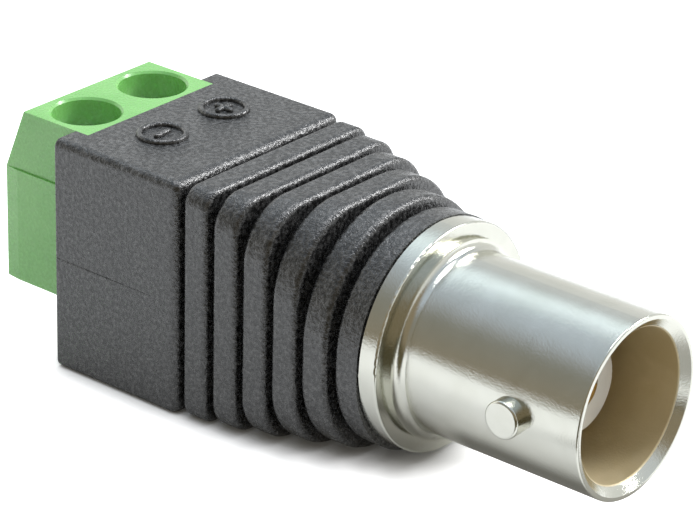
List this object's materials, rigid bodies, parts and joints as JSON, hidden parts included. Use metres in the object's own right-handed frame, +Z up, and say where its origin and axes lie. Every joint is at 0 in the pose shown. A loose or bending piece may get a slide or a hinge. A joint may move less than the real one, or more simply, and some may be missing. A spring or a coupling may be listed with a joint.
{
  "type": "coaxial jack to screw terminal adapter",
  "caption": "Adapter joining a bayonet coaxial jack to a two-pole screw terminal block, with a ribbed moulded body that turns from square to round.",
  "frame": {"origin": "on the coaxial axis, in the front face of the jack's flange", "axes": "+X along the coaxial axis, out of the jack's mouth; +Z up, out of the wells of the clamping screws; +Y towards pole 2"},
  "size_m": [0.0379, 0.0128, 0.0132],
  "materials": {
    "overmould": "fine grained black moulding",
    "terminal_green": "smooth green moulding, slightly glossy",
    "clamp_screw": "plated steel with a slotted head",
    "clamp_cage": "folded, nickel plated brass",
    "tinned_brass": "tin plated brass",
    "jack_shell": "turned brass, bright nickel plate",
    "dielectric": "white low loss plastic",
    "contact_gold": "gold plated",
    "bare_brass": "turned, unplated",
    "wire": "solid copper",
    "signal_sleeve": "red insulation",
    "ground_sleeve": "black insulation",
    "solder": "bright tin solder"
  },
  "bodies": {
    "housing": {"overmould_body": "overmould", "terminal_housing": "terminal_green", "contact_bar_1": "tinned_brass", "contact_bar_2": "tinned_brass", "bnc_shell": "jack_shell", "dielectric": "dielectric", "centre_contact": "contact_gold", "rear_insulator": "dielectric", "retaining_ring": "bare_brass", "ground_tag": "tinned_brass", "signal_wire": "wire", "signal_sleeve": "signal_sleeve", "ground_wire": "wire", "ground_sleeve": "ground_sleeve", "signal_leg_solder": "solder", "ground_leg_solder": "solder", "cup_solder": "solder", "tag_solder": "solder"},
    "screw_1": {"clamp_screw_1": "clamp_screw"},
    "screw_2": {"clamp_screw_2": "clamp_screw"},
    "cage_1": {"clamp_cage_1": "clamp_cage"},
    "cage_2": {"clamp_cage_2": "clamp_cage"}
  },
  "joints": [
    {"name": "screw_1_turn", "type": "hinge", "parent": "housing", "child": "screw_1", "pos_m": [-0.02284, -0.00254, 0.0051], "axis": [0, 0, -1], "range_deg": [0, 1280]},
    {"name": "cage_1_rise", "type": "slide", "parent": "housing", "child": "cage_1", "axis": [0, 0, 1], "range_m": [0, 0.0016]},
    {"name": "screw_2_turn", "type": "hinge", "parent": "housing", "child": "screw_2", "pos_m": [-0.02284, 0.00254, 0.0051], "axis": [0, 0, -1], "range_deg": [0, 1280]},
    {"name": "cage_2_rise", "type": "slide", "parent": "housing", "child": "cage_2", "axis": [0, 0, 1], "range_m": [0, 0.0016]}
  ],
  "couplings": [
    {"joint": "screw_1_turn", "follows": "cage_1_rise", "rad_per_m": 13963},
    {"joint": "screw_2_turn", "follows": "cage_2_rise", "rad_per_m": 13963}
  ]
}
